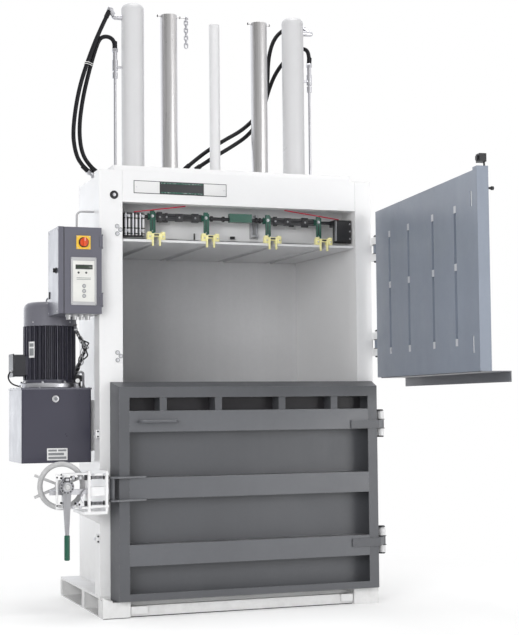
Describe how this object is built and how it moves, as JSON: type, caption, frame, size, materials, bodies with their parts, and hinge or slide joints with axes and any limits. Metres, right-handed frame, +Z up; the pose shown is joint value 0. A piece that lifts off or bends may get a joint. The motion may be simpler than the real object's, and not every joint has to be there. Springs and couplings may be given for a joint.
{
  "type": "recycling baler",
  "caption": "Vertical baling press: white steel frame with two cylinders, a press plate, two hinged doors, a rack door lock and a side power unit.",
  "frame": {"origin": "on the floor under the middle of the base, at the floor face", "axes": "+Z up, -Y out of the doors towards the operator, +X towards the door hinges"},
  "size_m": [1.8844, 2.2618, 2.995],
  "materials": {
    "white_paint": "semi-gloss powder coat",
    "wall_paint": "semi-gloss powder coat",
    "door_grey": "satin paint",
    "cabinet_grey": "satin paint",
    "motor_grey": "satin paint",
    "cast_grey": "painted cast iron",
    "bright_steel": "brushed",
    "zinc_steel": "zinc plated",
    "chromed": "hard chrome",
    "dark_steel": "black oxide",
    "green_paint": "gloss paint",
    "green_grip": "moulded grip",
    "yellow_plastic": "moulded",
    "red_plastic": "moulded",
    "yellow_plate": "moulded",
    "panel_face": "membrane",
    "black_plastic": "moulded",
    "hose_rubber": "wrapped rubber",
    "grey_cable": "plain sheath",
    "red_cord": "woven and coated",
    "lens": "clear bezel"
  },
  "bodies": {
    "frame": {"base_frame": "white_paint", "chamber_floor": "wall_paint", "left_pillar": "white_paint", "right_pillar": "white_paint", "left_wall": "wall_paint", "right_wall": "wall_paint", "back_wall": "wall_paint", "header": "white_paint", "cylinders": "white_paint", "sensor_tube": "white_paint", "hinge_lugs": "zinc_steel", "lock_frame": "white_paint", "lock_studs": "dark_steel", "oil_tank": "cabinet_grey", "tank_lid": "cabinet_grey", "sight_glass": "lens", "motor_flange": "zinc_steel", "motor_body": "motor_grey", "terminal_box": "motor_grey", "fan_cowl": "motor_grey", "cabinet_box": "cabinet_grey", "mounting_plate": "zinc_steel", "cable_glands": "black_plastic", "shaft_bearings": "black_plastic", "hose_fittings": "zinc_steel", "left_outer_hose": "hose_rubber", "left_inner_hose": "hose_rubber", "right_outer_hose": "hose_rubber", "right_inner_hose": "hose_rubber", "control_cable": "hose_rubber", "motor_cable": "grey_cable", "pull_cords": "red_cord"},
    "press": {"press_plate": "white_paint", "piston_rods": "chromed", "guide_tubes": "bright_steel", "sensor_rod": "chromed", "lifting_chain": "zinc_steel", "strap_clips": "yellow_plastic"},
    "strap_shaft": {"lever_shaft": "dark_steel", "strap_levers": "green_paint"},
    "upper_door": {"upper_door": "door_grey", "door_strap_clips": "zinc_steel", "door_apron": "door_grey", "door_actuator": "black_plastic", "upper_handle": "door_grey"},
    "lower_door": {"lower_door": "door_grey", "lower_rails": "door_grey", "grab_handle": "door_grey", "lock_keeper": "door_grey"},
    "cabinet_door": {"cabinet_door": "cabinet_grey", "control_panel": "panel_face", "switch_plate": "yellow_plate"},
    "switch": {"switch_knob": "red_plastic"},
    "latch": {"cabinet_latch": "zinc_steel"},
    "filler": {"filler_cap": "black_plastic"},
    "wheel": {"handwheel": "cast_grey"},
    "bolt": {"lock_bolt": "bright_steel"},
    "ratchet": {"ratchet_lever": "zinc_steel", "lever_grip": "green_grip"},
    "fan": {"cooling_fan": "black_plastic"}
  },
  "joints": [
    {"name": "press_slide", "type": "slide", "parent": "frame", "child": "press", "axis": [0, 0, -1], "range_m": [0, 0.8]},
    {"name": "strap_shaft_turn", "type": "hinge", "parent": "frame", "child": "strap_shaft", "pos_m": [0.0095, -0.295, 1.878], "axis": [1, 0, 0], "range_deg": [-20, 60]},
    {"name": "upper_door_hinge", "type": "hinge", "parent": "frame", "child": "upper_door", "pos_m": [0.711, -0.426, 1.5], "axis": [0, 0, 1], "range_deg": [-83.2, 30]},
    {"name": "lower_door_hinge", "type": "hinge", "parent": "frame", "child": "lower_door", "pos_m": [0.711, -0.426, 0.6], "axis": [0, 0, 1], "range_deg": [0, 82]},
    {"name": "cabinet_door_hinge", "type": "hinge", "parent": "frame", "child": "cabinet_door", "pos_m": [-0.701, -0.457, 1.6], "axis": [0, 0, 1], "range_deg": [0, 110]},
    {"name": "switch_turn", "type": "hinge", "parent": "cabinet_door", "child": "switch", "pos_m": [-0.789, -0.465, 1.724], "axis": [0, 1, 0], "range_deg": [0, 90]},
    {"name": "latch_turn", "type": "hinge", "parent": "frame", "child": "latch", "pos_m": [-0.912, -0.412, 1.596], "axis": [1, 0, 0], "range_deg": [0, 90]},
    {"name": "filler_turn", "type": "hinge", "parent": "frame", "child": "filler", "pos_m": [-0.762, -0.219, 1.089], "axis": [0, 0, 1], "range_deg": [0, 120]},
    {"name": "wheel_turn", "type": "hinge", "parent": "frame", "child": "wheel", "pos_m": [-0.892, -0.516, 0.613], "axis": [0, -1, 0], "range_deg": [0, 190]},
    {"name": "bolt_slide", "type": "slide", "parent": "frame", "child": "bolt", "axis": [1, 0, 0], "range_m": [0, 0.05]},
    {"name": "ratchet_turn", "type": "hinge", "parent": "frame", "child": "ratchet", "pos_m": [-0.892, -0.561, 0.613], "axis": [0, -1, 0], "range_deg": [-60, 60]},
    {"name": "fan_spin", "type": "hinge", "parent": "frame", "child": "fan", "pos_m": [-0.871, -0.089, 1.4], "axis": [0, 0, 1], "continuous": true}
  ],
  "couplings": [
    {"joint": "bolt_slide", "follows": "wheel_turn", "m_per_rad": 0.015}
  ]
}
